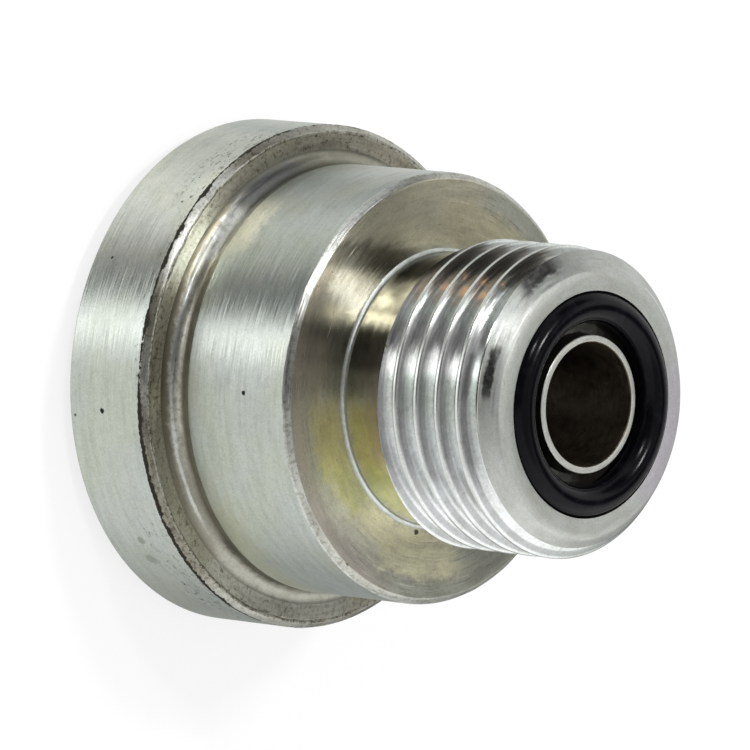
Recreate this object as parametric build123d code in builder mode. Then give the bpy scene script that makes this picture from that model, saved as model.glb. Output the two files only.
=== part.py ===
from build123d import *
from math import radians, tan
import os

# Face seal to flange adapter: one turned steel body and its two sealing rings.
# Sizes are in millimetres. The origin is the centre of the flange sealing face,
# and +Z runs along the axis, from that face towards the threaded nose.

# Flange head, which the clamp halves pull against the port
head_diameter = 28.7
head_thickness = 6.1
head_edge_break = 0.3

# Neck, with the ledge that the clamp bears on and a shallow relief above its root
clamp_ledge_width = 2.15
neck_length = 9.1
neck_root_radius = 0.9
neck_relief_length = 0.5
neck_relief_depth = 0.12
shoulder_edge_break = 0.35

# Threaded nose
nose_length = 11.7
nose_chamfer_length = 1.3
nose_chamfer_depth = 1.38
thread_major_diameter = 17.46
thread_pitch = 25.4 / 16
thread_angle = 60.0
relief_length = 2.6
relief_clearance = 0.05
relief_corner_radius = 0.25

# Nose face: a flat rim, the ring groove and a thin land round the passage
nose_rim_width = 1.045
nose_ring_section = 1.78
nose_ring_side_room = 0.65
nose_ring_stand_out = 0.46
nose_land_width = 0.425
nose_land_recess = 0.2

# Flange face: the rim, the ring groove and the land round the passage
flange_rim_width = 1.65
flange_ring_section = 3.53
flange_ring_side_room = 0.37
flange_ring_stand_out = 0.73
flange_land_width = 2.45

# Flow passage, which steps down at the cone that a drill point leaves
flange_bore_depth = 13.0
flange_bore_edge_break = 0.5
drill_point_angle = 118.0

# Depth of the flat that a ring gets where it bears on its groove
ring_seat_flat = 0.03

# Radii, from the outside in
head_radius = head_diameter / 2
neck_radius = head_radius - clamp_ledge_width
neck_root_floor = neck_radius - neck_relief_depth
flange_groove_outer = head_radius - flange_rim_width
flange_groove_inner = flange_groove_outer - flange_ring_section - flange_ring_side_room
flange_bore_radius = flange_groove_inner - flange_land_width

thread_radius = thread_major_diameter / 2
nose_face_radius = thread_radius - nose_chamfer_depth
nose_groove_outer = nose_face_radius - nose_rim_width
nose_groove_inner = nose_groove_outer - nose_ring_section - nose_ring_side_room
nose_bore_radius = nose_groove_inner - nose_land_width

# The relief clears the thread's root. The thread is a sharp V, flattened by an eighth of its
# height at the crest and a sixth at the root, and the nose is its blank at the outside diameter.
sharp_height = thread_pitch / 2 / tan(radians(thread_angle / 2))
thread_depth = sharp_height * (1 - 1 / 8 - 1 / 6)
relief_radius = thread_radius - thread_depth - relief_clearance

# Heights above the flange sealing face
neck_root_top = head_thickness + neck_root_radius
neck_relief_top = neck_root_top + neck_relief_length
shoulder_height = head_thickness + neck_length
relief_top = shoulder_height + relief_length
run_out_top = relief_top + thread_radius - relief_radius
nose_height = shoulder_height + nose_length
chamfer_bottom = nose_height - nose_chamfer_length
drill_point_length = (flange_bore_radius - nose_bore_radius) / tan(radians(drill_point_angle / 2))
drill_point_top = flange_bore_depth + drill_point_length

# Each groove is as deep as its ring's seated section, less what stands out of the face
nose_groove_depth = nose_ring_section - ring_seat_flat - nose_ring_stand_out
nose_groove_floor = nose_height - nose_groove_depth
flange_groove_floor = flange_ring_section - ring_seat_flat - flange_ring_stand_out


def turned_edges(part, radius, height, tolerance=0.001):
    """The circular edges of a turned part at one radius and height."""
    return part.edges().filter_by(GeomType.CIRCLE).filter_by(
        lambda edge: abs(edge.radius - radius) < tolerance
        and abs(edge.arc_center.Z - height) < tolerance
    )


def cut_round_recess(inner_radius, outer_radius, floor, mouth):
    """Cuts a square-cornered recess round the axis, from its floor out to the face at its mouth."""
    with BuildSketch(Plane.XZ) as recess:
        with Locations(((inner_radius + outer_radius) / 2, (floor + mouth) / 2)):
            Rectangle(outer_radius - inner_radius, abs(mouth - floor))
    revolve(recess.sketch, axis=Axis.Z, mode=Mode.SUBTRACT)


def turn_seated_ring(section, groove_outer, floor, out_of_floor):
    """Turns a ring that bears on its groove's outer wall and floor, with a small flat on each."""
    reach = section / 2 - ring_seat_flat
    with BuildSketch(Plane.XZ) as cross_section:
        with Locations((groove_outer - reach, floor + out_of_floor * reach)):
            Circle(section / 2)
        with Locations((groove_outer - section / 2, floor + out_of_floor * section / 2)):
            Rectangle(section, section, mode=Mode.INTERSECT)
    revolve(cross_section.sketch, axis=Axis.Z)


with BuildPart() as adapter_body:
    # Turned outline: head, neck with its root relieved, thread relief and chamfered nose
    with BuildSketch(Plane.XZ):
        with BuildLine():
            root_start = (neck_root_floor + neck_root_radius, head_thickness)
            root_end = (neck_root_floor, neck_root_top)
            Polyline((0, nose_height), (0, 0), (head_radius, 0), (head_radius, head_thickness), root_start)
            TangentArc(root_start, root_end, tangent=(-1, 0))
            Polyline(
                root_end,
                (neck_radius, neck_relief_top),
                (neck_radius, shoulder_height),
                (relief_radius, shoulder_height),
                (relief_radius, relief_top),
                (thread_radius, run_out_top),
                (thread_radius, chamfer_bottom),
                (nose_face_radius, nose_height),
                (0, nose_height),
            )
        make_face()
    revolve(axis=Axis.Z)
    fillet(turned_edges(adapter_body, relief_radius, shoulder_height), relief_corner_radius)

    # Flow passage: the flange bore, the drill point's cone and the nose bore
    with BuildSketch(Plane.XZ):
        with BuildLine():
            Polyline(
                (0, 0),
                (flange_bore_radius, 0),
                (flange_bore_radius, flange_bore_depth),
                (nose_bore_radius, drill_point_top),
                (nose_bore_radius, nose_height),
                (0, nose_height),
                close=True,
            )
        make_face()
    revolve(axis=Axis.Z, mode=Mode.SUBTRACT)

    # Ring grooves, and the nose land turned back below the rim
    cut_round_recess(flange_groove_inner, flange_groove_outer, flange_groove_floor, 0)
    cut_round_recess(nose_groove_inner, nose_groove_outer, nose_groove_floor, nose_height)
    cut_round_recess(nose_bore_radius, nose_groove_inner, nose_height - nose_land_recess, nose_height)

    # Broken edges
    chamfer(turned_edges(adapter_body, neck_radius, shoulder_height), shoulder_edge_break)
    chamfer(turned_edges(adapter_body, head_radius, head_thickness), head_edge_break)
    chamfer(turned_edges(adapter_body, head_radius, 0), head_edge_break)
    chamfer(turned_edges(adapter_body, flange_bore_radius, 0), flange_bore_edge_break)

with BuildPart() as nose_o_ring:
    turn_seated_ring(nose_ring_section, nose_groove_outer, nose_groove_floor, 1)

with BuildPart() as flange_o_ring:
    turn_seated_ring(flange_ring_section, flange_groove_outer, flange_groove_floor, -1)

adapter_body.part.label = "adapter_body"
nose_o_ring.part.label = "nose_o_ring"
flange_o_ring.part.label = "flange_o_ring"

os.makedirs("parts", exist_ok=True)
export_step(adapter_body.part, "parts/adapter_body.step")
export_step(nose_o_ring.part, "parts/nose_o_ring.step")
export_step(flange_o_ring.part, "parts/flange_o_ring.step")
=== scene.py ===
import math
import random
import bpy
from mathutils import Matrix, Vector


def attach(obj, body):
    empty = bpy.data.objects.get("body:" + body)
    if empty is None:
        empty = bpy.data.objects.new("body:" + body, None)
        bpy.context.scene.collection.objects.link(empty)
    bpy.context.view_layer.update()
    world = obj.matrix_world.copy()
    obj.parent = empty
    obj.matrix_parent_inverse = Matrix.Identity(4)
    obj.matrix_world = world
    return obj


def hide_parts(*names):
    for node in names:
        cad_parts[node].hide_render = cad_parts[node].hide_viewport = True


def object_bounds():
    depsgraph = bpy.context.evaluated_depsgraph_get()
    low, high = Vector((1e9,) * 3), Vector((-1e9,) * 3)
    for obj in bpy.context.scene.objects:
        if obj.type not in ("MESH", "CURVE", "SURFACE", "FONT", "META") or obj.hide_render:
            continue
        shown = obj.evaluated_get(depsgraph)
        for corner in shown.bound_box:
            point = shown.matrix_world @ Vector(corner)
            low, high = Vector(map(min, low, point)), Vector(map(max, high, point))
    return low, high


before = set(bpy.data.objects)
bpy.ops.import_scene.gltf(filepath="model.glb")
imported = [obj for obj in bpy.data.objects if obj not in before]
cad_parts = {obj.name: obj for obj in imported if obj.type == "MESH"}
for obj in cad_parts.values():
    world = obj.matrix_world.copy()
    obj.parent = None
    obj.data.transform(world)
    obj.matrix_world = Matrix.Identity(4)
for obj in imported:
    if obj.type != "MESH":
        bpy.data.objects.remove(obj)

cadBounds = [list(corner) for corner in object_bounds()]
mm = 0.001
print("frame loaded:", ", ".join(sorted(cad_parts)))


# Small helpers for node trees

def put(tree, kind, **settings):
    node = tree.nodes.new(kind)
    for name, value in settings.items():
        setattr(node, name, value)
    return node


def wire(tree, value, socket):
    # a socket is linked, anything else is set as the socket's own value, a colour as an opaque one
    if isinstance(value, bpy.types.NodeSocket):
        tree.links.new(value, socket)
    elif socket.type == "RGBA":
        socket.default_value = (*value, 1)
    elif value is not None:
        socket.default_value = value


def wireAll(tree, node, values):
    for name, value in values.items():
        wire(tree, value, node.inputs[name])


def sums(tree, operation, a, b=None, clamp=False):
    node = put(tree, "ShaderNodeMath", operation=operation, use_clamp=clamp)
    wire(tree, a, node.inputs[0])
    wire(tree, b, node.inputs[1])
    return node.outputs[0]


def plus(tree, a, b, clamp=False):
    return sums(tree, "ADD", a, b, clamp)


def minus(tree, a, b):
    return sums(tree, "SUBTRACT", a, b)


def times(tree, a, b):
    return sums(tree, "MULTIPLY", a, b)


def aboutZero(tree, value, size):
    # moves a value of 0 to 1 to half the size below and above zero
    return times(tree, minus(tree, value, 0.5), size)


def along(tree, operation, a, b=None, scale=None):
    node = put(tree, "ShaderNodeVectorMath", operation=operation)
    wire(tree, a, node.inputs[0])
    if operation == "SCALE":
        wire(tree, scale, node.inputs["Scale"])
    elif b is not None:
        wire(tree, b, node.inputs[1])
    return node.outputs["Value" if operation in ("DOT_PRODUCT", "DISTANCE") else "Vector"]


def ramp(tree, value, low, high, toLow=0.0, toHigh=1.0, smooth=True):
    node = put(tree, "ShaderNodeMapRange", interpolation_type="SMOOTHSTEP" if smooth else "LINEAR")
    wireAll(tree, node, {"Value": value, "From Min": low, "From Max": high,
                         "To Min": toLow, "To Max": toHigh})
    return node.outputs[0]


def faded(tree, mask, level):
    # 1 outside the mask, and the level inside it
    return ramp(tree, mask, 0.0, 1.0, 1.0, level, smooth=False)


def blendColour(tree, factor, a, b, mode="MIX"):
    # the node has sockets of the same names for other kinds of data, so the colours are picked by type
    node = put(tree, "ShaderNodeMix", data_type="RGBA", blend_type=mode)
    colours = {one.name: one for one in node.inputs if one.type == "RGBA"}
    wire(tree, factor, node.inputs[0])
    wire(tree, a, colours["A"])
    wire(tree, b, colours["B"])
    return [one for one in node.outputs if one.type == "RGBA"][0]


def darkened(tree, base, shade):
    return blendColour(tree, 1.0, base, joined(tree, shade, shade, shade), "MULTIPLY")


def noise(tree, vector, scale, detail=2.0, roughness=0.5):
    node = put(tree, "ShaderNodeTexNoise")
    wireAll(tree, node, {"Vector": vector, "Scale": scale, "Detail": detail, "Roughness": roughness})
    return node.outputs["Fac"]


def split(tree, vector):
    node = put(tree, "ShaderNodeSeparateXYZ")
    wire(tree, vector, node.inputs[0])
    return node.outputs


def joined(tree, x, y, z):
    node = put(tree, "ShaderNodeCombineXYZ")
    for value, socket in zip((x, y, z), node.inputs):
        wire(tree, value, socket)
    return node.outputs[0]


def newGroup(name, inputs, outputs):
    tree = bpy.data.node_groups.new(name, "ShaderNodeTree")
    for label, kind, value in inputs:
        socket = tree.interface.new_socket(label, in_out="INPUT", socket_type=kind)
        if value is not None:
            socket.default_value = value
    for label, kind in outputs:
        tree.interface.new_socket(label, in_out="OUTPUT", socket_type=kind)
    return tree, tree.nodes.new("NodeGroupInput").outputs, tree.nodes.new("NodeGroupOutput").inputs


def use(tree, group, **values):
    node = put(tree, "ShaderNodeGroup", node_tree=group)
    wireAll(tree, node, values)
    return node.outputs


def towards(degrees):
    # unit vector to a side of the piece: 0 is -Y, 90 is -X
    turn = math.radians(degrees)
    return (-math.sin(turn), -math.cos(turn), 0.0)


# Node groups that several finishes share

number, vector = "NodeSocketFloat", "NodeSocketVector"


def makeRoundPlace():
    # where a point is on a turned piece: millimetres from the axis, height, and the way round
    outputs = [("Radius", number), ("Height", number), ("Round", vector), ("Point", vector)]
    tree, given, out = newGroup("roundPlace", [("Millimetre", number, 1000.0)], outputs)
    here = put(tree, "ShaderNodeTexCoord").outputs["Object"]
    point = along(tree, "SCALE", here, scale=given["Millimetre"])
    x, y, z = split(tree, point)
    radius = sums(tree, "SQRT", plus(tree, times(tree, x, x), times(tree, y, y)))
    safe = sums(tree, "MAXIMUM", radius, 0.001)
    wire(tree, radius, out["Radius"])
    wire(tree, z, out["Height"])
    wire(tree, joined(tree, sums(tree, "DIVIDE", x, safe), sums(tree, "DIVIDE", y, safe), 0.0), out["Round"])
    wire(tree, point, out["Point"])
    return tree


def makeTurnedLines():
    # lines that a turning tool leaves: quick across the feed, slow round the piece
    inputs = [("Round", vector, None), ("Across", number, 0.0), ("Spacing", number, 0.12),
              ("Length", number, 2.0), ("Seed", number, 0.0)]
    tree, given, out = newGroup("turnedLines", inputs, [("Fine", number), ("Coarse", number)])
    x, y, z = split(tree, along(tree, "SCALE", given["Round"], scale=given["Length"]))
    lines = plus(tree, sums(tree, "DIVIDE", given["Across"], given["Spacing"]), given["Seed"])
    wide = times(tree, lines, 0.22)
    wire(tree, noise(tree, joined(tree, x, y, lines), 1.0, 3.0, 0.6), out["Fine"])
    wire(tree, noise(tree, joined(tree, x, y, wide), 1.0, 2.0, 0.5), out["Coarse"])
    return tree


def makeBandMask():
    # 1 between Low and High, with soft ends
    inputs = [("Value", number, 0.0), ("Low", number, 0.0), ("High", number, 1.0), ("Soft", number, 0.05)]
    tree, given, out = newGroup("bandMask", inputs, [("Mask", number)])
    above = minus(tree, given["Value"], given["Low"])
    below = minus(tree, given["High"], given["Value"])
    up, down = (ramp(tree, sums(tree, "DIVIDE", far, given["Soft"]), -0.5, 0.5) for far in (above, below))
    wire(tree, times(tree, up, down), out["Mask"])
    return tree


def makeSpotMask():
    # a ragged round spot at a place on the piece, in millimetres
    inputs = [("Point", vector, None), ("Centre", vector, None), ("Size", number, 0.3),
              ("Ragged", number, 0.9)]
    tree, given, out = newGroup("spotMask", inputs, [("Mask", number)])
    share = sums(tree, "DIVIDE", along(tree, "DISTANCE", given["Point"], given["Centre"]), given["Size"])
    wobble = aboutZero(tree, noise(tree, given["Point"], 4.0, 3.0), given["Ragged"])
    wire(tree, ramp(tree, plus(tree, share, wobble), 1.0, 0.55), out["Mask"])
    return tree


def makeSectorMask():
    # 1 towards one side of the piece, falling off round the axis
    inputs = [("Round", vector, None), ("Towards", vector, None), ("Outside", number, 0.2),
              ("Inside", number, 0.8)]
    tree, given, out = newGroup("sectorMask", inputs, [("Mask", number)])
    facing = along(tree, "DOT_PRODUCT", given["Round"], given["Towards"])
    wire(tree, ramp(tree, facing, given["Outside"], given["Inside"]), out["Mask"])
    return tree


def makeLineTilt():
    # each turned line leans a little along its own run, which frays the ends of a highlight
    inputs = [("Around", vector, None), ("Lines", number, 0.5), ("Lean", number, 0.3)]
    tree, given, out = newGroup("lineTilt", inputs, [("Normal", vector)])
    face = put(tree, "ShaderNodeNewGeometry").outputs["Normal"]
    push = along(tree, "SCALE", given["Around"], scale=aboutZero(tree, given["Lines"], given["Lean"]))
    wire(tree, along(tree, "NORMALIZE", along(tree, "ADD", face, push)), out["Normal"])
    return tree


# Dirt under the head's rolled edge. A sector is (side in degrees, outside, inside), and the widths are
# (noise from, noise to, least half width, most half width) in millimetres.
edgeDirt = {
    "line": 5.74,              # height of the line of dirt
    "slowScale": 9.0,
    "quickScale": 52.0,
    "thickSector": (38, 0.66, 0.88),
    "thick": (0.35, 0.62, 0.07, 0.15),
    "thinSector": (-42, 0.72, 0.86),
    "thin": (0.30, 0.50, 0.08, 0.13),
    "rest": (0.40, 0.60, 0.0, 0.07),
    "fray": 0.30,              # how far the quick noise moves the edges of the line
    "wander": 0.15,            # how far the slow noise moves the line up and down
}


def makeEdgeGrime(d):
    # thick and broken on one side of the piece, a thin line on the other
    inputs = [("Round", vector, None), ("Height", number, 0.0), ("Line", number, d["line"])]
    tree, given, out = newGroup("edgeGrime", inputs, [("Mask", number)])
    slow = noise(tree, along(tree, "SCALE", given["Round"], scale=d["slowScale"]), 1.0, 2.0, 0.5)
    x, y, z = split(tree, along(tree, "SCALE", given["Round"], scale=d["quickScale"]))
    quick = noise(tree, joined(tree, x, y, times(tree, given["Height"], 3.0)), 1.0, 4.0, 0.65)
    widths = []
    for name in ("thick", "thin"):
        side, outside, inside = d[name + "Sector"]
        sector = use(tree, sectorMask, Round=given["Round"], Towards=towards(side),
                     Outside=outside, Inside=inside)
        widths.append(times(tree, sector["Mask"], ramp(tree, slow, *d[name])))
    half = sums(tree, "MAXIMUM", sums(tree, "MAXIMUM", *widths), ramp(tree, quick, *d["rest"]))
    half = plus(tree, half, aboutZero(tree, quick, d["fray"]))
    line = plus(tree, given["Line"], aboutZero(tree, slow, d["wander"]))
    away = sums(tree, "ABSOLUTE", minus(tree, given["Height"], line))
    wire(tree, ramp(tree, minus(tree, half, away), -0.01, 0.03), out["Mask"])
    return tree


roundPlace = makeRoundPlace()
turnedLines = makeTurnedLines()
bandMask = makeBandMask()
spotMask = makeSpotMask()
sectorMask = makeSectorMask()
lineTilt = makeLineTilt()
edgeGrime = makeEdgeGrime(edgeDirt)
print("node groups ready")


# Adapter: one turned steel piece with a rolled edge here and there

steelPiece = {
    "columns": 288,            # steps round the axis
    "headRadius": 14.35,
    "headHeight": 6.1,
    "headEdge": 0.3,
    "headLip": 0.05,           # height of the rolled lip on the clamp side
    "lipTop": 0.09,            # from the head's edge inwards to the top of the lip
    "lipFoot": 0.20,           # and to the foot of its inner side
    "lipWobble": 0.03,
    "lipSeeds": (3, 8),
    "lipPhase": 0.7,           # radians between the lip's unevenness outwards and upwards
    "neckRadius": 12.2,
    "neckFloor": 12.08,
    "rootRadius": 0.9,
    "neckReliefTop": 7.5,
    "shoulder": 15.2,
    "shoulderEdge": 0.35,
    "shoulderWobble": 0.02,
    "shoulderSeed": 5,
    "reliefTop": 17.8,
    "reliefCorner": 0.25,
    "reliefJoin": 0.42,        # from the shoulder up to where the turned rings of the relief end
    "noseTop": 26.9,
    "noseRim": 7.35,
    "noseEdgeHeight": 25.6,
    "noseRound": 0.36,         # rounding between the nose chamfer and the rim
    "noseJoin": 26.62,         # height where the turned rings of the chamfer start
    "grooveOut": 6.305,
    "grooveIn": 3.875,
    "grooveFloor": 25.61,
    "landTop": 26.7,
    "noseBore": 3.45,
    "boreStep": 14.742,
    "flangeBore": 6.35,
    "flangeBoreTop": 13.0,
    "flangeBoreEdge": 0.5,
    "backGrooveIn": 8.8,
    "backGrooveOut": 12.7,
    "backGrooveFloor": 2.77,
    "threadRadius": 8.73,
    "threadPitch": 25.4 / 16,
    "threadDepth": 25.4 / 16 * math.sqrt(3) / 2 * 17 / 24,
    "threadCrestAt": 24.76,    # height of the last full crest on the front side
    "threadStart": 0.47,       # from the shoulder up to the lowest row of the thread
    "threadEnd": 26.58,        # height of its highest row
    "turnsBelow": 8,           # pitches from the last full crest down to the first row that is tried
    "turnsTried": 12,
    "crestBend": (0.035, 0.10),    # shares of a pitch, from the middle of the crest
    "flankRows": (0.20, 0.30),
    "rootBend": (0.375, 0.45),
    "reliefRadius": 7.706,
    "sharpAngle": 28,
}
steelZones = ["side", "headEdge", "lip", "clampFace", "root", "neckGroove", "shoulderEdge", "shoulder",
              "reliefCorner", "relief", "crest", "flank", "threadRoot", "chamfer", "noseFace", "land",
              "faced", "groove", "bore"]


def bend(a, b, c, steps):
    # a short curve from a to c that leaves and arrives along the lines through b
    a, b, c = Vector(a), Vector(b), Vector(c)
    return [tuple(a.lerp(b, t).lerp(b.lerp(c, t), t)) for t in (k / steps for k in range(steps + 1))]


def corner(points, index, size, steps=3):
    # rounds one corner of a profile with a short curve
    before, here, after = (Vector(points[index + k][:2]) for k in (-1, 0, 1))
    a, b = here + (before - here).normalized() * size, here + (after - here).normalized() * size
    return bend(a, here, b, steps)


def spread(a, b, step):
    # points on a straight run, the first included and the last left out
    a, b = Vector(a), Vector(b)
    count = max(1, round((b - a).length / step))
    return [tuple(a.lerp(b, k / count)) for k in range(count)]


def quarterArc(centre, size, steps, zone):
    # from straight below the centre round to the side that faces the axis
    turns = [math.radians(270 - 90 * k / steps) for k in range(1, steps + 1)]
    return [((centre[0] + size * math.cos(t), centre[1] + size * math.sin(t)), zone, 0) for t in turns]


def chamferSlope(p):
    return (p["threadRadius"] - p["noseRim"]) / (p["noseTop"] - p["noseEdgeHeight"])


def bodyOutline(p):
    # ((radius, height), zone, rounding) from the nose chamfer inwards, through the passage and round to the
    # relief, with the rounding of each corner in millimetres
    startRadius = p["threadRadius"] - chamferSlope(p) * (p["noseJoin"] - p["noseEdgeHeight"])
    edgeRadius = p["headRadius"] - p["headEdge"]
    rootStart = p["neckFloor"] + p["rootRadius"]
    reliefStart = p["reliefRadius"] + p["reliefCorner"]
    return [
        ((startRadius, p["noseJoin"]), "chamfer", 0),
        ((p["noseRim"], p["noseTop"]), "chamfer", p["noseRound"]),
        ((p["grooveOut"], p["noseTop"]), "noseFace", 0.09),
        ((p["grooveOut"], p["grooveFloor"]), "groove", 0.12),
        ((p["grooveIn"], p["grooveFloor"]), "groove", 0.12),
        ((p["grooveIn"], p["landTop"]), "groove", 0.13),
        ((p["noseBore"], p["landTop"]), "land", 0.14),
        ((p["noseBore"], p["boreStep"]), "bore", 0),
        ((p["flangeBore"], p["flangeBoreTop"]), "bore", 0),
        ((p["flangeBore"], p["flangeBoreEdge"]), "bore", 0),
        ((p["flangeBore"] + p["flangeBoreEdge"], 0), "bore", 0.08),
        ((p["backGrooveIn"], 0), "faced", 0.1),
        ((p["backGrooveIn"], p["backGrooveFloor"]), "groove", 0.2),
        ((p["backGrooveOut"], p["backGrooveFloor"]), "groove", 0.2),
        ((p["backGrooveOut"], 0), "groove", 0.1),
        ((edgeRadius, 0), "faced", 0.07),
        ((p["headRadius"], p["headEdge"]), "faced", 0.07),
        ((p["headRadius"], p["headHeight"] - p["headEdge"]), "side", 0.05),
        ((edgeRadius, p["headHeight"] + p["headLip"] / 2), "headEdge", 0.03),
        ((edgeRadius - p["lipTop"], p["headHeight"] + p["headLip"]), "lip", 0.02),
        ((edgeRadius - p["lipFoot"], p["headHeight"]), "lip", 0.03),
        ((rootStart, p["headHeight"]), "clampFace", 0),
        *quarterArc((rootStart, p["headHeight"] + p["rootRadius"]), p["rootRadius"], 12, "root"),
        ((p["neckRadius"], p["neckReliefTop"]), "neckGroove", 0.1),
        ((p["neckRadius"], p["shoulder"] - p["shoulderEdge"]), "side", 0.08),
        ((p["neckRadius"] - p["shoulderEdge"], p["shoulder"]), "shoulderEdge", 0.08),
        ((reliefStart, p["shoulder"]), "shoulder", 0),
        *quarterArc((reliefStart, p["shoulder"] + p["reliefCorner"]), p["reliefCorner"], 5, "reliefCorner"),
        ((p["reliefRadius"], p["shoulder"] + p["reliefJoin"]), "relief", 0),
    ]


def bodyProfile(outline):
    # ((radius, height), zone) with the corners rounded, and a row about every millimetre at least
    points = [place for place, zone, size in outline]
    profile = []
    for k, (place, zone, size) in enumerate(outline):
        if size:
            rounded = enumerate(corner(points, k, size))
            profile += [(q, zone if n < 2 else outline[k + 1][1]) for n, q in rounded]
        else:
            profile.append((place, zone))
    full = []
    for (a, zoneA), (b, zoneB) in zip(profile, profile[1:]):
        full += [(q, zoneA if n == 0 else zoneB) for n, q in enumerate(spread(a, b, 1.0))]
    full.append(profile[-1])
    return full


def threadShape(p):
    # (share of a pitch, radius, part) over one pitch, crest in the middle, all corners a little rounded
    flat, root, deep = 1 / 16, 0.5 - 1 / 12, p["threadDepth"]
    crestIn, crestOut = p["crestBend"]
    rootIn, rootOut = p["rootBend"]

    def fall(share):
        return deep * (share - flat) / (root - flat)

    crestEdge = bend((crestIn, 0), (flat, 0), (crestOut, fall(crestOut)), 4)
    rootEdge = bend((rootIn, fall(rootIn)), (root, deep), (rootOut, deep), 2)
    half = [(0.0, 0.0, "crest")]
    half += [(s, d, "crest" if n < 3 else "flank") for n, (s, d) in enumerate(crestEdge)]
    half += [(s, fall(s), "flank") for s in p["flankRows"]]
    half += [(s, d, "flank" if n < 2 else "threadRoot") for n, (s, d) in enumerate(rootEdge)]
    rows = [(-s, p["threadRadius"] - d, part) for s, d, part in reversed(half)][:-1]
    rows += [(s, p["threadRadius"] - d, part) for s, d, part in half]
    return rows


def blankRadiusAt(p, height):
    # the turned blank that limits the thread: relief, run-out cone, cylinder and nose chamfer
    radius = min(p["threadRadius"], p["reliefRadius"] + max(0.0, height - p["reliefTop"]))
    return min(radius, p["threadRadius"] - chamferSlope(p) * max(0.0, height - p["noseEdgeHeight"]))


def meetingRows(p, points):
    # {row: height} of the rows to be moved onto the lines where the thread meets its blank
    touching = 1e-6
    over = [radius - blankRadiusAt(p, height) for k, height, radius, part in points]
    meets = {}
    for n in range(len(points) - 1):
        a, b = over[n], over[n + 1]
        if (a > touching) == (b > touching):
            continue
        low, high = points[n][1], points[n + 1][1]
        share = a / (a - b)
        if abs(a) < touching and low < p["noseEdgeHeight"] < high:
            share = (p["noseEdgeHeight"] - low) / (high - low)
        meets[n if share < 0.5 else n + 1] = low + share * (high - low)
    return meets


def edgeWobble(turn, seed):
    # a slow and a quick unevenness round the piece, from -1 to 1
    rng = random.Random(seed)
    total = 0.0
    for waves in (3, 5, 8, 13, 21, 34, 55):
        total += math.sin(waves * turn + rng.uniform(0, 6.28)) * rng.uniform(0.3, 1.0) / 2.2
    return max(-1.0, min(1.0, total))


def placed(radius, turn, height):
    return (radius * math.cos(turn) * mm, radius * math.sin(turn) * mm, height * mm)


def turnRings(p, profile, verts):
    # a ring of points for each row of the profile, uneven where an edge was rolled or broken
    outSeed, upSeed = p["lipSeeds"]
    rings = []
    for (radius, height), zone in profile:
        ring = []
        for i in range(p["columns"]):
            turn = 2 * math.pi * i / p["columns"]
            r, z = radius, height
            if zone in ("headEdge", "lip"):
                r += p["lipWobble"] * edgeWobble(turn, outSeed)
                z += p["lipWobble"] * edgeWobble(turn + p["lipPhase"], upSeed)
            if zone == "shoulderEdge":
                r += p["shoulderWobble"] * edgeWobble(turn, p["shoulderSeed"])
            ring.append(len(verts))
            verts.append(placed(r, turn, z))
        rings.append(ring)
    return rings


def skinRings(rings, profile, faces, zones):
    columns = len(rings[0])
    for k in range(len(rings) - 1):
        zone = steelZones.index(profile[k + 1][1])
        for i in range(columns):
            j = (i + 1) % columns
            faces.append((rings[k][i], rings[k + 1][i], rings[k + 1][j], rings[k][j]))
            zones.append(zone)


def threadColumn(p, shape, turnShare):
    # (row, height, radius, part) up the thread at one share of a turn
    rows = len(shape)
    low, high = p["shoulder"] + p["threadStart"], p["threadEnd"]
    crestAtZero = p["threadCrestAt"] + p["threadPitch"] * 0.25 - p["turnsBelow"] * p["threadPitch"]
    points = []
    for k in range(rows * p["turnsTried"]):
        share, radius, part = shape[k % rows]
        height = crestAtZero + p["threadPitch"] * (turnShare + k // rows + share)
        if low <= height <= high:
            points.append((k, height, radius, part))
    return points


def threadGrid(p, shape, verts):
    # for each column its {row: vertex}, and for each vertex its part: none where thread and blank meet
    grid, parts = [], {}
    for i in range(p["columns"]):
        turn = 2 * math.pi * i / p["columns"]
        points = threadColumn(p, shape, i / p["columns"])
        meets = meetingRows(p, points)
        column = {}
        for n, (k, height, radius, part) in enumerate(points):
            if n in meets:
                height, part = meets[n], None
                radius = blankRadiusAt(p, height)
            elif blankRadiusAt(p, height) < radius:
                radius = blankRadiusAt(p, height)
                part = "chamfer" if height > p["noseEdgeHeight"] else "relief"
            column[k] = len(verts)
            parts[len(verts)] = steelZones.index(part) if part else None
            verts.append(placed(radius, turn, height))
        grid.append(column)
    return grid, parts


def skinThread(rows, grid, parts, rings, faces, zones):
    # rows follow the helix, and wide faces join them to the rings above and below
    chamfer, relief = steelZones.index("chamfer"), steelZones.index("relief")
    for i in range(len(grid)):
        here = grid[i]
        j = (i + 1) % len(grid)
        step = rows if j == 0 else 0      # the last column meets the first one a pitch further on
        there = {k - step: v for k, v in grid[j].items()}
        for k in sorted(set(here) & set(there)):
            if k + 1 in here and k + 1 in there:
                faces.append((here[k], there[k], there[k + 1], here[k + 1]))
                a, b = parts[here[k]], parts[here[k + 1]]
                if a is None or b is None:
                    zones.append(chamfer if a == b else b if a is None else a)
                else:
                    zones.append(a if k % rows < rows // 2 else b)
        bottom = [there[k] for k in sorted(there) if k <= min(here)]
        top = [here[k] for k in sorted(here, reverse=True) if k >= max(there)]
        faces.append(tuple([here[min(here)], rings[-1][i], rings[-1][j]] + bottom))
        zones.append(relief)
        faces.append(tuple([there[max(there)], rings[0][j], rings[0][i]] + top))
        zones.append(chamfer)


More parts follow.
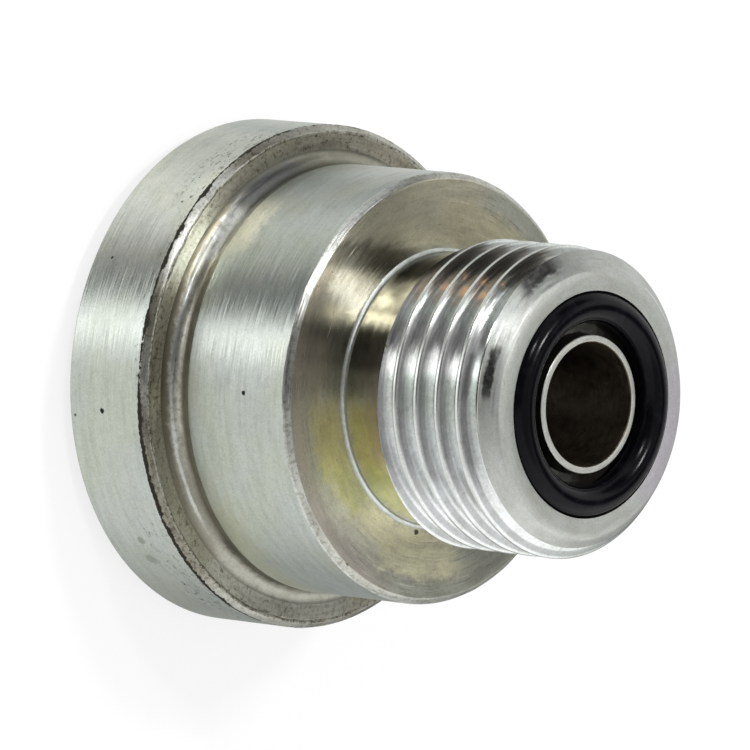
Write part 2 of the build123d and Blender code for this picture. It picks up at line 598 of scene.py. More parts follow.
def makeSteel(p):
    verts, faces, zones = [], [], []
    profile = bodyProfile(bodyOutline(p))
    rings = turnRings(p, profile, verts)
    skinRings(rings, profile, faces, zones)
    shape = threadShape(p)
    grid, parts = threadGrid(p, shape, verts)
    skinThread(len(shape), grid, parts, rings, faces, zones)
    mesh = bpy.data.meshes.new("adapterSteel")
    mesh.from_pydata(verts, [], faces)
    mesh.validate()
    piece = bpy.data.objects.new("adapterSteel", mesh)
    bpy.context.scene.collection.objects.link(piece)
    mesh.polygons.foreach_set("material_index", zones)
    mesh.polygons.foreach_set("use_smooth", [True] * len(mesh.polygons))
    mesh.set_sharp_from_angle(angle=math.radians(p["sharpAngle"]))
    mesh.update()
    return piece


adapterSteel = makeSteel(steelPiece)
print("adapter mesh:", len(adapterSteel.data.polygons), "faces")


# Steel finishes

# Every zone has these in common. A range of noise is (from, to).
plating = {
    "lineLength": 5.0,         # how quickly a turned line changes round the piece
    "streakRange": (0.40, 0.68),
    "streakShare": 0.40,       # how much of the dull colour the streaks, clouds and mottle bring
    "cloudScale": 0.35,
    "cloudRange": (0.42, 0.7),
    "cloudShare": 0.25,
    "mottleScale": 2.6,
    "mottleRange": (0.45, 0.70),
    "mottleShare": 0.30,
    "patchShare": 0.55,        # the dull share that a patch keeps
    "wobbleScale": 1.6,        # a patch's sides bend by this noise, by up to half the size times its edge
    "wobbleSize": 2.4,
    "tear": 1.6,               # how far the turned lines tear a patch's ends, in shares of their softness
    "strawScale": 0.20,
    "strawRange": (0.40, 0.66),
    "straw": (0.99, 0.97, 0.83),
    "speckScale": 9.0,
    "speckRange": (0.30, 0.70),
    "speckLevels": (1.07, 0.90),
    "shadeFront": (1.0, -2.0),     # y where a shade starts, and where it is full
    "scratchRange": (0.64, 0.70),
    "scratch": (0.85, 0.83, 0.72),
    "crumbScale": 2.3,
    "crumbSquash": (1.0, 1.0, 1.9),
    "crumbRange": (0.56, 0.63),
    "crumbEdge": 0.4,
    "crumb": (0.11, 0.105, 0.08),
    "grime": (0.030, 0.026, 0.019),
    "grimeRough": 0.3,
    "grimeShine": 0.2,
    "roughRange": (0.3, 0.7),
    "roughSpread": 0.15,
    "bumpDepth": 0.00003,
}

# Each zone then has its own. Patches are (side, half width, soft, low, high, edge, colour, amount): where
# round the axis in degrees, where across the zone in millimetres, and how much of the colour shows. Some
# patches are the plating's own tints; many are painted highlights, painted shade and painted reflections,
# fixed on the piece.
# Flecks are (side, half width, soft, low, high, amount), and spots (point, size, colour, amount).
# Shades are (low, high, edge, level): darker bands in x across the front. Painted flank shade is the same in
# the radius.
# Straw says how far the plating drifts to that colour. Across is the height where along names nothing else.
pitBlack = (0.02, 0.022, 0.02)

steelLook = {
    "side": {
        "tint": (0.60, 0.645, 0.605), "dull": (0.47, 0.51, 0.465), "rough": 0.36, "spacing": 0.085,
        "anisotropy": 0.72, "bump": 0.22, "lean": 0.30, "grime": True, "straw": 0.5,
        "tintsAndPaintedLight": [
            # the patches at 33 and 54 degrees are painted light over the head's darker band, with a yellowish
            # tint; the one at 42 is a painted highlight on the neck
            (33, 9, 9, -1.0, 6.4, 0.5, (0.94, 0.97, 0.88), 0.95),
            (54, 10, 10, -1.0, 6.4, 0.5, (0.90, 0.93, 0.82), 0.9),
            (42, 4, 8, 7.3, 9.1, 0.7, (0.98, 0.97, 0.84), 0.85),
            (-62, 14, 20, 7.3, 9.3, 1.6, (0.56, 0.58, 0.42), 0.6)],
        "spots": [
            ((1.32, -12.13, 11.83), 0.17, pitBlack, 1.0),
            ((3.15, -14.0, 2.79), 0.20, pitBlack, 1.0),
            ((-5.47, -13.27, 1.63), 0.13, pitBlack, 0.9),
            ((3.54, -13.9, 0.63), 0.12, pitBlack, 0.8),
            ((10.2, -10.08, 3.03), 0.34, (0.22, 0.25, 0.20), 0.6),
            ((11.2, -8.97, 2.89), 0.50, (0.24, 0.27, 0.22), 0.5),
            ((-9.3, -10.9, 5.0), 0.13, (0.14, 0.14, 0.11), 0.8),
            ((-9.0, -11.2, 4.6), 0.12, (0.14, 0.14, 0.11), 0.8)],
        "flecks": [
            (66, 16, 14, 3.6, 6.0, 0.85),
            (-64, 14, 16, 3.4, 6.0, 0.9),
            (34, 26, 20, 5.1, 6.0, 0.8)]},
    "headEdge": {
        "tint": (0.33, 0.32, 0.26), "dull": (0.14, 0.13, 0.10), "rough": 0.40, "spacing": 0.06,
        "anisotropy": 0.4, "bump": 0.3, "lean": 0.4, "grime": True, "mottle": 0.9, "grain": 4.0,
        "tintsAndPaintedLight": [
            # painted highlights on the dark edge, brightest at 36 degrees
            (36, 12, 8, 5.0, 7.0, 0.5, (0.90, 0.92, 0.86), 0.85),
            (-2, 4, 6, 5.0, 7.0, 0.5, (0.70, 0.72, 0.66), 0.45),
            (100, 30, 12, 5.0, 7.0, 0.5, (0.60, 0.60, 0.53), 0.8),
            (-84, 18, 12, 5.0, 7.0, 0.5, (0.60, 0.61, 0.55), 0.8)]},
    "lip": {
        "tint": (0.52, 0.52, 0.45), "dull": (0.14, 0.12, 0.09), "rough": 0.52, "spacing": 0.06,
        "anisotropy": 0.3, "bump": 0.3, "lean": 0.4, "mottle": 0.95, "grain": 4.5},
    "clampFace": {
        "tint": (0.60, 0.57, 0.45), "dull": (0.20, 0.18, 0.13), "rough": 0.36, "along": "Radius",
        "spacing": 0.07, "anisotropy": 0.75, "bump": 0.28, "lean": 0.2, "mottle": 0.75, "grain": 3.6,
        "tintsAndPaintedLight": [
            # the lighter and darker patches here are painted reflections; the dark one on the inner half at
            # 64 degrees is painted shade
            (-42, 18, 16, 11.0, 15.0, 0.4, (0.40, 0.39, 0.33), 0.85),
            (-82, 18, 14, 11.0, 15.0, 0.4, (0.62, 0.63, 0.56), 0.8),
            (36, 12, 10, 11.0, 15.0, 0.4, (0.90, 0.92, 0.80), 0.8),
            (72, 20, 16, 11.0, 15.0, 0.4, (0.54, 0.52, 0.42), 0.7),
            (64, 20, 14, 12.8, 13.35, 0.5, (0.26, 0.26, 0.21), 0.6)],
        "flecks": [(70, 24, 16, 12.9, 14.2, 0.8), (-50, 30, 20, 12.9, 14.2, 0.7)]},
    "root": {
        "tint": (0.60, 0.60, 0.53), "dull": (0.27, 0.26, 0.21), "rough": 0.34, "spacing": 0.12,
        "anisotropy": 0.5, "bump": 0.25, "lean": 0.25, "mottle": 0.6, "grain": 3.0,
        "tintsAndPaintedLight": [
            # the root's dark patches are painted shade in the corner and on its upper part; the light ones at
            # 38 degrees and along its foot are painted highlights
            (0, 80, 60, 6.02, 6.22, 0.12, (0.18, 0.16, 0.11), 0.9),
            (-60, 26, 22, 6.0, 7.4, 0.3, (0.27, 0.26, 0.21), 0.85),
            (0, 30, 20, 6.75, 7.2, 0.2, (0.40, 0.38, 0.31), 0.7),
            (76, 22, 16, 6.0, 7.4, 0.3, (0.30, 0.30, 0.24), 0.85),
            (60, 8, 8, 6.1, 7.2, 0.3, (0.22, 0.23, 0.24), 0.8),
            (0, 38, 14, 6.28, 6.40, 0.06, (0.66, 0.69, 0.66), 0.85),
            (-84, 20, 12, 6.0, 6.5, 0.3, (0.50, 0.51, 0.45), 0.7),
            (-78, 20, 12, 6.65, 7.5, 0.2, (0.09, 0.09, 0.07), 0.9),
            (38, 5, 6, 6.35, 7.6, 0.3, (0.97, 1.0, 0.96), 1.0),
            (28, 4, 5, 6.15, 6.5, 0.2, (0.22, 0.22, 0.19), 0.8)]},
    "neckGroove": {
        "tint": (0.46, 0.45, 0.37), "dull": (0.24, 0.23, 0.18), "rough": 0.32, "spacing": 0.1,
        "anisotropy": 0.5, "bump": 0.2, "lean": 0.2,
        "tintsAndPaintedLight": [
            # a painted highlight at 40 degrees and painted shade at -78 degrees
            (40, 6, 8, 6.9, 7.7, 0.3, (0.96, 0.97, 0.88), 0.85),
            (-78, 20, 12, 6.8, 7.4, 0.2, (0.12, 0.12, 0.09), 0.9)]},
    "shoulderEdge": {
        "tint": (0.58, 0.59, 0.54), "dull": (0.30, 0.30, 0.25), "rough": 0.34, "spacing": 0.07,
        "anisotropy": 0.3, "bump": 0.3, "lean": 0.4, "mottle": 0.8, "grain": 4.0,
        "tintsAndPaintedLight": [
            # a painted highlight at 42 degrees and a light painted line along the edge
            (42, 16, 14, 14.0, 16.0, 0.5, (0.95, 0.97, 0.93), 0.9),
            (0, 90, 80, 14.8, 14.93, 0.06, (0.80, 0.82, 0.78), 0.7)]},
    "shoulder": {
        "tint": (0.58, 0.59, 0.50), "dull": (0.34, 0.34, 0.27), "rough": 0.31, "along": "Radius",
        "spacing": 0.09, "anisotropy": 0.94, "bump": 0.25, "lean": 0.12, "scratch": 0.5, "mottle": 0.28,
        "grain": 3.4,
        "tintsAndPaintedLight": [
            # the yellow, cream and brown patches are plating tints; the dark one at 22 degrees is painted
            # shade and the light one at 35 a painted highlight
            (-34, 13, 18, 8.0, 10.3, 0.7, (0.62, 0.60, 0.31), 0.75),
            (-40, 5, 14, 9.0, 10.1, 0.7, (0.82, 0.80, 0.40), 0.6),
            (-82, 20, 12, 7.9, 10.8, 0.8, (1.0, 0.96, 0.66), 0.95),
            (-52, 12, 10, 9.6, 12.0, 0.8, (0.80, 0.78, 0.68), 0.8),
            (108, 16, 16, 8.0, 10.6, 0.8, (0.84, 0.76, 0.46), 0.6),
            (-34, 30, 18, 10.9, 12.0, 0.5, (0.60, 0.54, 0.48), 0.7),
            (14, 12, 12, 9.0, 12.0, 0.6, (0.50, 0.41, 0.33), 0.6),
            (22, 5, 6, 7.9, 11.6, 0.6, (0.34, 0.33, 0.27), 0.8),
            (35, 5, 8, 7.9, 10.8, 0.6, (0.98, 0.97, 0.84), 0.85),
            (68, 22, 20, 8.0, 12.0, 0.6, (0.74, 0.68, 0.48), 0.6)],
        "shades": [(-7.7, -6.1, 0.8, 0.40), (-3.1, -0.6, 1.2, 0.66)],
        "spots": [
            ((10.33, -5.96, 15.2), 0.20, (0.10, 0.10, 0.08), 0.9),
            ((8.13, -0.6, 15.2), 0.22, pitBlack, 0.9)]},
    "reliefCorner": {
        # a lighter copy of the plating: painted highlight on the corner, with painted shade over its inner
        # part to keep the line thin
        "tint": (0.74, 0.78, 0.76), "dull": (0.40, 0.42, 0.36), "rough": 0.45, "spacing": 0.08,
        "anisotropy": 0.2, "bump": 0.15, "lean": 0.2,
        "tintsAndPaintedLight": [(0, 168, 10, 15.31, 15.8, 0.04, (0.26, 0.26, 0.21), 0.85)]},
    "relief": {
        "tint": (0.62, 0.60, 0.50), "dull": (0.46, 0.43, 0.32), "rough": 0.20, "spacing": 0.12,
        "anisotropy": 0.55, "bump": 0.08, "lean": 0.12, "mottle": 0.6, "grain": 1.5,
        "shades": [(-7.7, -5.9, 0.7, 0.35), (-2.9, -0.6, 0.9, 0.45)],
        "tintsAndPaintedLight": [
            # the patch at 29 degrees is painted shade and the one at 42 a painted highlight; the others are
            # plating tints
            (29, 5, 6, 15.4, 17.9, 0.5, (0.34, 0.33, 0.27), 0.8),
            (42, 5, 6, 15.4, 17.9, 0.5, (1.0, 0.99, 0.88), 0.9),
            (-32, 11, 16, 15.6, 17.9, 0.6, (0.70, 0.64, 0.34), 0.8),
            (-20, 8, 12, 16.9, 17.9, 0.4, (0.56, 0.44, 0.36), 0.6),
            (-54, 8, 10, 15.3, 17.9, 0.4, (0.52, 0.60, 0.36), 0.6)]},
    "crest": {
        # crest, flank and thread root are one plating: the crest's lighter copy is painted highlight, the
        # root's darker copy painted shade
        "tint": (0.84, 0.87, 0.84), "dull": (0.64, 0.67, 0.63), "rough": 0.34, "spacing": 0.12,
        "anisotropy": 0.4, "bump": 0.2, "lean": 0.3},
    "flank": {
        "tint": (0.77, 0.81, 0.79), "dull": (0.54, 0.56, 0.52), "rough": 0.19,
        # painted shade: a darker line on the flanks just inside the crest
        "flankShade": (8.26, 8.58, 0.12, 0.58), "spacing": 0.11, "anisotropy": 0.5, "bump": 0.14, "lean": 0.16,
        "mottle": 0.45, "grain": 3.0,
        "spots": [
            ((-6.0, -5.85, 24.45), 0.55, (1.0, 0.74, 0.46), 0.85),
            ((-6.1, -5.7, 22.85), 0.60, (1.0, 0.70, 0.42), 0.85),
            ((-6.3, -5.5, 21.3), 0.50, (0.98, 0.66, 0.42), 0.75)],
        "tintsAndPaintedLight": [
            # the white patches at 0, 16 and -48 degrees are painted highlights; the dark ones at 6 and 62
            # degrees are painted shade
            (0, 26, 16, 18.5, 19.1, 0.12, (1.0, 1.0, 1.0), 0.8),
            (16, 6, 7, 18.0, 25.6, 0.4, (1.0, 1.0, 1.0), 0.85),
            (6, 7, 4, 24.98, 25.18, 0.06, (0.30, 0.31, 0.30), 0.7),
            (47, 4, 8, 18.0, 24.6, 0.5, (0.70, 0.50, 0.34), 0.45),
            (62, 8, 8, 18.0, 26.0, 0.5, (0.42, 0.36, 0.26), 0.6),
            (-48, 22, 20, 18.0, 26.0, 0.5, (0.92, 0.94, 0.96), 0.6)]},
    "threadRoot": {
        "tint": (0.58, 0.60, 0.56), "dull": (0.34, 0.33, 0.28), "rough": 0.24, "spacing": 0.11,
        "anisotropy": 0.4, "bump": 0.14, "lean": 0.16},
    "chamfer": {
        "tint": (0.57, 0.59, 0.56), "dull": (0.45, 0.46, 0.43), "rough": 0.44, "spacing": 0.12,
        "anisotropy": 0.3, "bump": 0.2, "lean": 0.22, "mottle": 0.35, "grain": 3.4,
        "tintsAndPaintedLight": [
            # painted shade: dark patches where the chamfer mirrors dark gaps round it
            (30, 6, 7, 25.5, 26.30, 0.2, (0.44, 0.46, 0.45), 0.6),
            (56, 6, 8, 25.3, 26.40, 0.25, (0.035, 0.035, 0.035), 0.97),
            (9, 8, 4, 26.12, 26.48, 0.12, (0.03, 0.03, 0.03), 0.97),
            (-24, 6, 5, 25.72, 26.0, 0.14, (0.28, 0.29, 0.28), 0.8)]},
    "noseFace": {
        "tint": (0.63, 0.65, 0.61), "dull": (0.50, 0.51, 0.46), "rough": 0.58, "along": "Radius",
        "spacing": 0.10, "anisotropy": 0.2, "bump": 0.12, "lean": 0.1, "mottle": 0.3, "grain": 3.4,
        "tintsAndPaintedLight": [(-168, 22, 24, 6.3, 7.5, 0.2, (0.62, 0.58, 0.66), 0.7)]},
    "land": {
        "tint": (0.74, 0.75, 0.70), "dull": (0.60, 0.60, 0.54), "rough": 0.5, "along": "Radius",
        "spacing": 0.08, "anisotropy": 0.2, "bump": 0.1, "lean": 0.1},
    "faced": {
        "tint": (0.58, 0.61, 0.57), "dull": (0.46, 0.48, 0.44), "rough": 0.36, "along": "Radius",
        "spacing": 0.12, "anisotropy": 0.7, "bump": 0.2, "lean": 0.2},
    "groove": {
        # near black: painted shade in the groove; the grey patches are painted reflections of the land
        "tint": (0.06, 0.056, 0.05), "dull": (0.02, 0.02, 0.018), "rough": 0.5, "along": "Radius",
        "spacing": 0.2, "anisotropy": 0.3, "bump": 0.1, "lean": 0.1,
        "tintsAndPaintedLight": [
            (88, 12, 16, 3.95, 4.5, 0.2, (0.30, 0.30, 0.27), 0.8),
            (-78, 12, 16, 3.95, 4.4, 0.2, (0.30, 0.31, 0.28), 0.8)]},
    "bore": {
        # dark brown: painted shade inside the passage
        "tint": (0.15, 0.125, 0.09), "dull": (0.05, 0.04, 0.028), "rough": 0.42, "spacing": 0.2,
        "anisotropy": 0.5, "bump": 0.2, "lean": 0.2},
}


def newMaterial(name):
    material = bpy.data.materials.new(name)
    material.use_nodes = True
    tree = material.node_tree
    tree.nodes.clear()
    shader = put(tree, "ShaderNodeBsdfPrincipled")
    output = put(tree, "ShaderNodeOutputMaterial")
    tree.links.new(shader.outputs[0], output.inputs["Surface"])
    return material, tree, shader.inputs


def finePits(tree, shader, height, strength, normal=None):
    bump = put(tree, "ShaderNodeBump")
    wireAll(tree, bump, {"Strength": strength, "Distance": plating["bumpDepth"],
                         "Height": height, "Normal": normal})
    wire(tree, bump.outputs[0], shader["Normal"])


def findPlace(tree, look, seed):
    # what every effect needs to know about a point of the zone
    place = use(tree, roundPlace)
    across = place[look.get("along", "Height")]
    lines = use(tree, turnedLines, Round=place["Round"], Across=across, Spacing=look["spacing"],
                Length=plating["lineLength"], Seed=seed)
    slow = noise(tree, place["Point"], plating["wobbleScale"], 4.0, 0.65)
    return {"point": place["Point"], "round": place["Round"], "radius": place["Radius"],
            "height": place["Height"], "across": across, "fine": lines["Fine"], "coarse": lines["Coarse"],
            "wobble": aboutZero(tree, slow, plating["wobbleSize"])}


def areaMask(tree, at, area, edge, amount):
    # the turned lines tear the ends of an area, and a slow wobble bends its sides
    side, half, soft, low, high = area
    outside, inside = (math.cos(math.radians(min(180, reach))) for reach in (half + soft, half))
    torn = aboutZero(tree, at["coarse"], (inside - outside) * plating["tear"])
    facing = along(tree, "DOT_PRODUCT", at["round"], towards(side))
    sector = ramp(tree, plus(tree, facing, torn), outside, inside)
    bent = plus(tree, at["across"], times(tree, at["wobble"], edge))
    band = use(tree, bandMask, Value=bent, Low=low, High=high, Soft=edge)["Mask"]
    return times(tree, times(tree, sector, band), amount)


def platingAndPaintedLight(tree, look, at):
    # pale plating with duller streaks and clouds, and the patches: tints, painted highlights and painted
    # shade
    cloudy = ramp(tree, noise(tree, at["point"], plating["cloudScale"], 3.0, 0.6), *plating["cloudRange"])
    streak = ramp(tree, at["coarse"], *plating["streakRange"])
    grain = noise(tree, at["point"], look.get("grain", plating["mottleScale"]), 4.0, 0.65)
    mottled = ramp(tree, grain, *plating["mottleRange"])
    dull = plus(tree, times(tree, streak, plating["streakShare"]), times(tree, cloudy, plating["cloudShare"]))
    dull = plus(tree, dull, times(tree, mottled, look.get("mottle", plating["mottleShare"])), clamp=True)
    base = blendColour(tree, dull, look["tint"], look["dull"])
    for *area, edge, tint, amount in look.get("tintsAndPaintedLight", []):
        mask = areaMask(tree, at, area, edge, amount)
        tint = blendColour(tree, times(tree, dull, plating["patchShare"]), tint, look["dull"])
        base = blendColour(tree, mask, base, tint)
    return base


def addStraw(tree, look, at, base):
    # the plating drifts between green-grey and straw
    if "straw" not in look:
        return base
    drift = ramp(tree, noise(tree, at["point"], plating["strawScale"], 3.0, 0.6), *plating["strawRange"])
    return blendColour(tree, times(tree, drift, look["straw"]), base, plating["straw"], "MULTIPLY")


def addSpecks(tree, look, at, base):
    specks = noise(tree, at["point"], plating["speckScale"], 2.0, 0.6)
    shade = ramp(tree, specks, *plating["speckRange"], *plating["speckLevels"], smooth=False)
    return darkened(tree, base, shade)


def addFlankShade(tree, look, at, base):
    # painted shade: a darker line on each flank of the thread, just inside the crest
    if "flankShade" not in look:
        return base
    low, high, edge, level = look["flankShade"]
    line = use(tree, bandMask, Value=at["radius"], Low=low, High=high, Soft=edge)["Mask"]
    return darkened(tree, base, faded(tree, line, level))


def addShades(tree, look, at, base):
    # darker bands straight across the front of a face
    for low, high, edge, level in look.get("shades", []):
        x, y, z = split(tree, at["point"])
        sideways = plus(tree, x, aboutZero(tree, at["coarse"], edge))
        band = use(tree, bandMask, Value=sideways, Low=low, High=high, Soft=edge)["Mask"]
        band = times(tree, band, ramp(tree, y, *plating["shadeFront"]))
        base = darkened(tree, base, faded(tree, band, level))
    return base


def addScratches(tree, look, at, base):
    if "scratch" not in look:
        return base
    thin = ramp(tree, at["fine"], *plating["scratchRange"])
    return blendColour(tree, times(tree, thin, look["scratch"]), base, plating["scratch"])


def addFlecks(tree, look, at, base):
    # crumbs of dirt that the turned lines caught, on one side of the piece
    for *area, amount in look.get("flecks", []):
        mask = areaMask(tree, at, area, plating["crumbEdge"], amount)
        squashed = along(tree, "MULTIPLY", at["point"], plating["crumbSquash"])
        crumbs = ramp(tree, noise(tree, squashed, plating["crumbScale"], 5.0, 0.75), *plating["crumbRange"])
        base = blendColour(tree, times(tree, mask, crumbs), base, plating["crumb"])
    return base


def addSpots(tree, look, at, base):
    for centre, size, tint, amount in look.get("spots", []):
        spot = use(tree, spotMask, Point=at["point"], Centre=centre, Size=size)["Mask"]
        base = blendColour(tree, times(tree, spot, amount), base, tint)
    return base


def addGrime(tree, shader, at, base, rough):
    # dirt is no metal: it takes the shine away as well
    dirt = use(tree, edgeGrime, Round=at["round"], Height=at["height"])["Mask"]
    wire(tree, faded(tree, dirt, 0.0), shader["Metallic"])
    shader["Specular IOR Level"].default_value = plating["grimeShine"]
    base = blendColour(tree, dirt, base, plating["grime"])
    return base, plus(tree, rough, times(tree, dirt, plating["grimeRough"]))


def steelFinish(zone, look):
    material, tree, shader = newMaterial("zincSteel_" + zone)
    at = findPlace(tree, look, float(len(zone)))
    base = platingAndPaintedLight(tree, look, at)
    for effect in (addStraw, addSpecks, addFlankShade, addShades, addScratches, addFlecks, addSpots):
        base = effect(tree, look, at, base)
    smoothest, roughest = (look["rough"] * (1 + k * plating["roughSpread"]) for k in (-1, 1))
    rough = ramp(tree, at["fine"], *plating["roughRange"], smoothest, roughest, smooth=False)
    shader["Metallic"].default_value = 1.0
    if look.get("grime"):
        base, rough = addGrime(tree, shader, at, base, rough)
    around = put(tree, "ShaderNodeTangent", direction_type="RADIAL", axis="Z").outputs[0]
    wire(tree, base, shader["Base Color"])
    wire(tree, rough, shader["Roughness"])
    wire(tree, around, shader["Tangent"])
    shader["Anisotropic"].default_value = look["anisotropy"]
    shader["Anisotropic Rotation"].default_value = 0.25
    leaning = use(tree, lineTilt, Around=around, Lines=at["fine"], Lean=look["lean"])["Normal"]
    finePits(tree, shader, at["fine"], look["bump"], leaning)
    return material


for zone in steelZones:
    adapterSteel.data.materials.append(steelFinish(zone, steelLook[zone]))
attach(adapterSteel, "root")
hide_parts("adapter_body")
print("steel finishes:", len(steelZones))


# Sealing rings: they keep their CAD shape and get moulded rubber

rubberLook = {
    "tint": (0.0025, 0.0025, 0.004),
    "dust": (0.007, 0.007, 0.010),
    "hazeScale": 1.3,
    "grainScale": 14.0,
    "rough": 0.14,
    "hazeRough": 1.7,          # how many times rougher the haze is
    "bump": 0.05,
    "shine": 0.14,
}


def rubberFinish(look):
    material, tree, shader = newMaterial("blackNitrile")
    point = use(tree, roundPlace)["Point"]
    haze = noise(tree, point, look["hazeScale"], 4.0, 0.6)
    base = blendColour(tree, ramp(tree, haze, 0.5, 0.75), look["tint"], look["dust"])
    wire(tree, base, shader["Base Color"])
    rough = ramp(tree, haze, 0.3, 0.75, look["rough"], look["rough"] * look["hazeRough"], smooth=False)
    wire(tree, rough, shader["Roughness"])
    shader["Specular IOR Level"].default_value = look["shine"]
    finePits(tree, shader, noise(tree, point, look["grainScale"], 2.0, 0.5), look["bump"])
    return material


blackRubber = rubberFinish(rubberLook)
for name in ("nose_o_ring", "flange_o_ring"):
    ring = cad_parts[name]
    ring.data.materials.clear()
    ring.data.materials.append(blackRubber)
print("rings dressed")


# Studio: pale floor, a tent of soft panels, two round soft lamps, one camera

studio = {
    "floorHeight": cadBounds[0][2],
    "floorSize": 4.0,
    "floorGlow": 0.74,
    "floorTint": 0.30,
    "floorMatte": 0.8,         # the floor as matt surfaces see it
    "fill": 0.7,               # plain light on matt surfaces
    "cameraPlace": (-0.00041, -0.41069, 0.39946),
    "cameraAlong": (0.0, 0.7258, -0.6879),
    "cameraUp": (-0.995, -0.071, -0.0737),
    "lens": 480.2,
    "lampAim": (0, 0, 0.018),
    # (name, direction, distance, size, power)
    "lamps": [("highLamp", (-0.42, 0.09, 0.90), 0.6, 0.07, 0.9),
              ("frontLamp", (-0.62, -0.45, 0.64), 0.6, 0.08, 0.6)],
    # brightness round the tent, by degrees from -Y towards -X: below the horizon, and half way up
    "brightest": 2.5,
    "lowPanels": [(-180, 0.30), (-140, 0.36), (-116, 0.46), (-98, 0.70), (-80, 0.93), (-2, 0.93), (5, 1.0),
                  (11, 2.2), (20, 2.2), (26, 0.8), (33, 0.12), (49, 0.10), (56, 0.60), (68, 0.62), (78, 0.92),
                  (88, 0.84), (98, 0.62), (112, 0.46), (124, 0.44), (140, 0.90), (160, 0.90), (180, 0.40)],
    "highPanels": [(-180, 0.45), (-165, 0.85), (-142, 1.25), (-95, 1.25), (-60, 0.85), (-20, 0.66),
                   (-10, 0.25), (-4, 0.05), (44, 0.05), (54, 0.14), (66, 0.42), (82, 0.62), (98, 0.55),
                   (125, 0.60), (145, 1.10), (165, 0.90), (180, 0.45)],
    "horizon": (-0.10, 0.22),  # where the low panels give way to the high ones
    "zenith": 0.36,
    "zenithFrom": (0.80, 0.94),
    # dark gaps high up: (direction, inner and outer degrees, brightness)
    "darkSpots": [((0.0, 0.726, 0.688), 8, 17, 0.06), ((-0.40, 0.33, 0.86), 9, 18, 0.05),
                  ((-0.78, 0.29, 0.55), 11, 22, 0.03)],
}


def white(tree, kind, strength):
    node = put(tree, kind)
    wireAll(tree, node, {"Color": (1, 1, 1), "Strength": strength})
    return node.outputs[0]


def matt(tree, level):
    node = put(tree, "ShaderNodeBsdfDiffuse")
    node.inputs["Color"].default_value = (level, level, level, 1)
    return node.outputs[0]


def mixShader(tree, factor, a, b):
    node = put(tree, "ShaderNodeMixShader")
    wire(tree, factor, node.inputs[0])
    tree.links.new(a, node.inputs[1])
    tree.links.new(b, node.inputs[2])
    return node.outputs[0]


def mixNumber(tree, factor, a, b):
    return plus(tree, times(tree, a, minus(tree, 1.0, factor)), times(tree, b, factor))


def panelTone(tree, share, panels, brightest):
    # share is 0 to 1 once round the tent
    node = put(tree, "ShaderNodeValToRGB")
    stops = node.color_ramp.elements
    for n, (degrees, tone) in enumerate(panels):
        place = (degrees + 180) / 360
        stop = stops[n] if n < 2 else stops.new(place)
        stop.position = place
    for stop, (degrees, tone) in zip(sorted(stops, key=lambda one: one.position), panels):
        level = tone / brightest
        stop.color = (level, level, level, 1)
    wire(tree, share, node.inputs[0])
    return times(tree, node.outputs["Color"], brightest)


def tentTone(tree, direction, s):
    # the light tent as polished steel sees it: pale cloth, with the darker gaps between its panels
    x, y, z = split(tree, direction)
    turn = sums(tree, "ARCTAN2", times(tree, x, -1.0), times(tree, y, -1.0))
    share = plus(tree, sums(tree, "DIVIDE", turn, 2 * math.pi), 0.5)
    low = panelTone(tree, share, s["lowPanels"], s["brightest"])
    high = panelTone(tree, share, s["highPanels"], s["brightest"])
    high = mixNumber(tree, ramp(tree, z, *s["zenithFrom"]), high, s["zenith"])
    tone = mixNumber(tree, ramp(tree, z, *s["horizon"]), low, high)
    for spot, inner, outer, level in s["darkSpots"]:
        facing = along(tree, "DOT_PRODUCT", direction, Vector(spot).normalized())
        outside, inside = (math.cos(math.radians(degrees)) for degrees in (outer, inner))
        tone = mixNumber(tree, ramp(tree, facing, outside, inside), tone, level)
    return tone


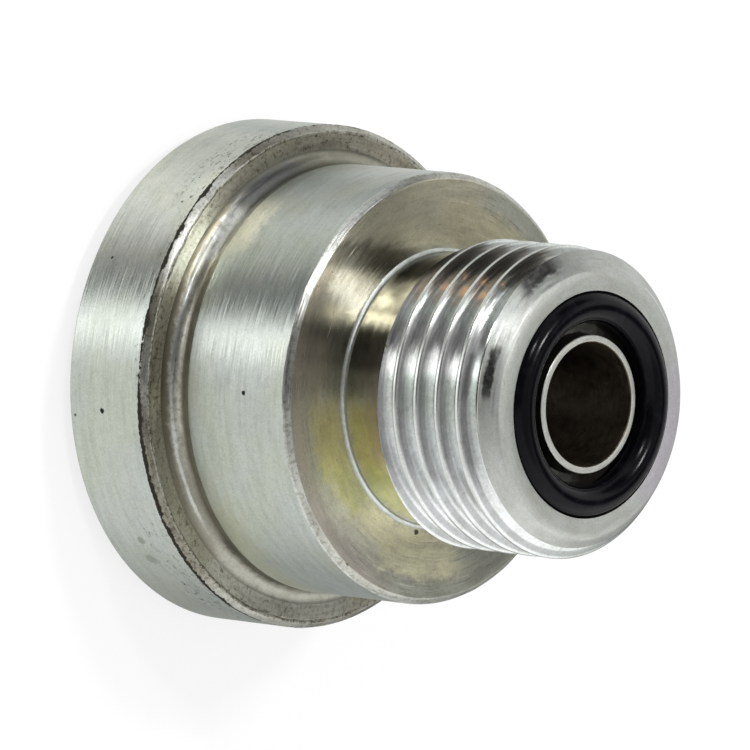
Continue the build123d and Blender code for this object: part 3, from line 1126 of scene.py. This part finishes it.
def makeFloor(s):
    half, z = s["floorSize"] / 2, s["floorHeight"]
    mesh = bpy.data.meshes.new("floor")
    corners = [(-half, -half, z), (half, -half, z), (half, half, z), (-half, half, z)]
    mesh.from_pydata(corners, [], [(0, 1, 2, 3)])
    floor = bpy.data.objects.new("floor", mesh)
    bpy.context.scene.collection.objects.link(floor)
    floor.visible_glossy = False       # polished steel sees the tent below it instead
    material = bpy.data.materials.new("paleFloor")
    material.use_nodes = True
    tree = material.node_tree
    tree.nodes.clear()
    path = put(tree, "ShaderNodeLightPath").outputs
    lit = put(tree, "ShaderNodeAddShader")
    tree.links.new(matt(tree, s["floorTint"]), lit.inputs[0])
    tree.links.new(white(tree, "ShaderNodeEmission", s["floorGlow"]), lit.inputs[1])
    seen = sums(tree, "MAXIMUM", path["Is Glossy Ray"], path["Is Transmission Ray"])
    seen = sums(tree, "MAXIMUM", path["Is Camera Ray"], seen)
    output = put(tree, "ShaderNodeOutputMaterial")
    surface = mixShader(tree, seen, matt(tree, s["floorMatte"]), lit.outputs[0])
    tree.links.new(surface, output.inputs["Surface"])
    mesh.materials.append(material)


def makeWorld(s):
    # matt surfaces get a plain fill, the camera sees white, and polished ones see the tent
    world = bpy.data.worlds.new("softTent")
    bpy.context.scene.world = world
    world.use_nodes = True
    tree = world.node_tree
    tree.nodes.clear()
    path = put(tree, "ShaderNodeLightPath").outputs
    direction = put(tree, "ShaderNodeTexCoord").outputs["Generated"]
    levels = (s["fill"], 1.0, tentTone(tree, direction, s))
    plain, full, tent = (white(tree, "ShaderNodeBackground", level) for level in levels)
    seen = sums(tree, "MAXIMUM", path["Is Glossy Ray"], path["Is Transmission Ray"])
    base = mixShader(tree, path["Is Camera Ray"], plain, full)
    output = put(tree, "ShaderNodeOutputWorld")
    tree.links.new(mixShader(tree, seen, base, tent), output.inputs["Surface"])


def makeLamp(name, direction, distance, size, power, aim):
    # a round soft lamp that looks at the nose from a direction
    light = bpy.data.lights.new(name, "AREA")
    light.shape = "DISK"
    light.size = size
    light.energy = power
    lamp = bpy.data.objects.new(name, light)
    bpy.context.scene.collection.objects.link(lamp)
    away = Vector(direction).normalized()
    lamp.rotation_euler = (-away).to_track_quat("-Z", "Y").to_euler()
    lamp.location = Vector(aim) + away * distance


def makeCamera(s):
    data = bpy.data.cameras.new("photoCamera")
    data.sensor_width = 36
    data.lens = s["lens"]
    data.clip_start, data.clip_end = 0.01, 20
    camera = bpy.data.objects.new("photoCamera", data)
    bpy.context.scene.collection.objects.link(camera)
    back = -Vector(s["cameraAlong"]).normalized()
    right = Vector(s["cameraUp"]).cross(back).normalized()
    up = back.cross(right)
    turned = Matrix((right, up, back)).transposed().to_4x4()
    camera.matrix_world = Matrix.Translation(s["cameraPlace"]) @ turned
    bpy.context.scene.camera = camera


makeFloor(studio)
makeWorld(studio)
for lamp in studio["lamps"]:
    makeLamp(*lamp, studio["lampAim"])
makeCamera(studio)
bpy.context.scene.view_settings.view_transform = "Standard"
print("studio ready")
